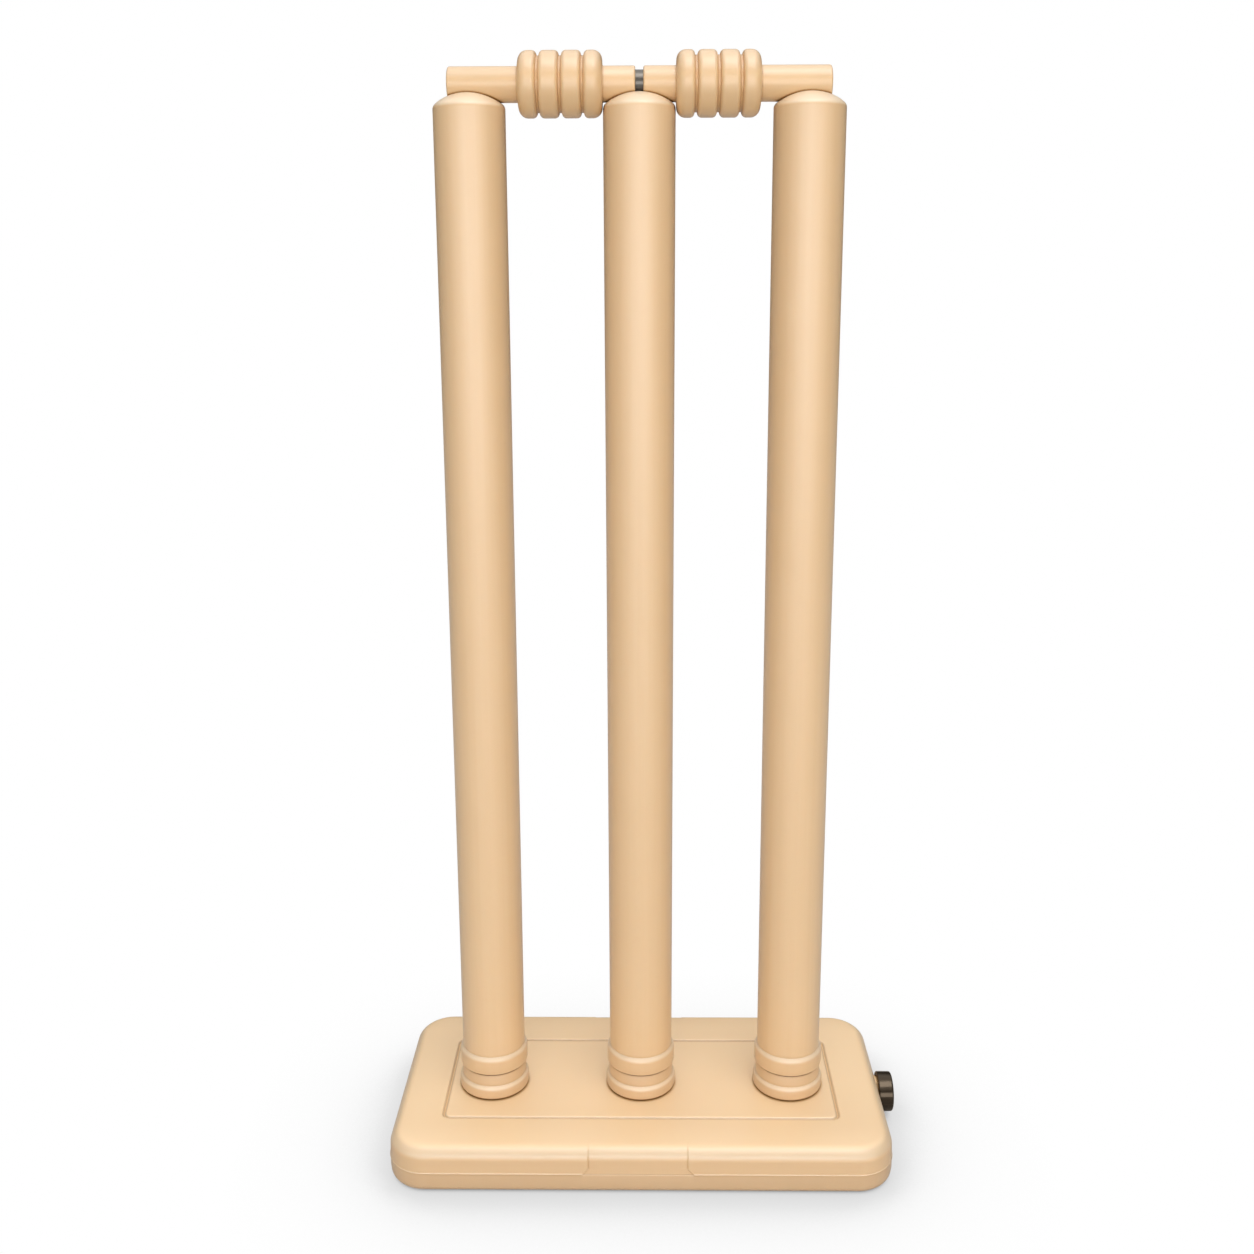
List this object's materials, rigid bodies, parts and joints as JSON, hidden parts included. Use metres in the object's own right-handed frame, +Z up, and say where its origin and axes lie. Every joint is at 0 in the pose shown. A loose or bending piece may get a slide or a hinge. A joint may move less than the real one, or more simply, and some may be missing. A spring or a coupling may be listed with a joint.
{
  "type": "cricket stumps",
  "caption": "Hollow plastic stumps plugged into a flat fillable base with a screw filler cap, with a pegged pair of ribbed bails across the heads.",
  "frame": {"origin": "on the surface that the base stands on, right under the middle stump's axis", "axes": "+Z up along the stumps, +X along the row of stumps towards the filler cap, -Y towards the front"},
  "size_m": [0.3374, 0.1592, 0.7013],
  "materials": {
    "tan_plastic": "satin moulded polyethylene",
    "dark_plastic": "polished dark brown",
    "seal_rubber": "matt black"
  },
  "bodies": {
    "base": {"base_shell": "tan_plastic"},
    "middle_stump": {"stump_middle": "tan_plastic"},
    "left_stump": {"stump_left": "tan_plastic"},
    "right_stump": {"stump_right": "tan_plastic"},
    "joiner": {"bail_joiner": "dark_plastic"},
    "left_bail": {"bail_left": "tan_plastic"},
    "right_bail": {"bail_right": "tan_plastic"},
    "seal": {"cap_seal": "seal_rubber"},
    "cap": {"filler_cap": "dark_plastic"}
  },
  "joints": [
    {"name": "middle_stump_pull", "type": "slide", "parent": "base", "child": "middle_stump", "axis": [0, 0, 1], "range_m": [0, 0.03]},
    {"name": "left_stump_pull", "type": "slide", "parent": "base", "child": "left_stump", "axis": [0, 0, 1], "range_m": [0, 0.03]},
    {"name": "right_stump_pull", "type": "slide", "parent": "base", "child": "right_stump", "axis": [0, 0, 1], "range_m": [0, 0.03]},
    {"name": "bails_lift", "type": "slide", "parent": "middle_stump", "child": "joiner", "axis": [0, 0, 1], "range_m": [0, 0.03]},
    {"name": "left_bail_pull", "type": "slide", "parent": "joiner", "child": "left_bail", "axis": [-1, 0, 0], "range_m": [0, 0.006]},
    {"name": "right_bail_pull", "type": "slide", "parent": "joiner", "child": "right_bail", "axis": [1, 0, 0], "range_m": [0, 0.006]},
    {"name": "cap_travel", "type": "slide", "parent": "base", "child": "seal", "axis": [1, 0, 0], "range_m": [0, 0.00751]},
    {"name": "cap_turn", "type": "hinge", "parent": "seal", "child": "cap", "pos_m": [0.1635, 0.012, 0.0155], "axis": [1, 0, 0], "range_deg": [0, 900]}
  ],
  "couplings": [
    {"joint": "left_stump_pull", "follows": "middle_stump_pull", "ratio": 1},
    {"joint": "right_stump_pull", "follows": "middle_stump_pull", "ratio": 1},
    {"joint": "cap_travel", "follows": "cap_turn", "m_per_rad": 0.00047746}
  ]
}
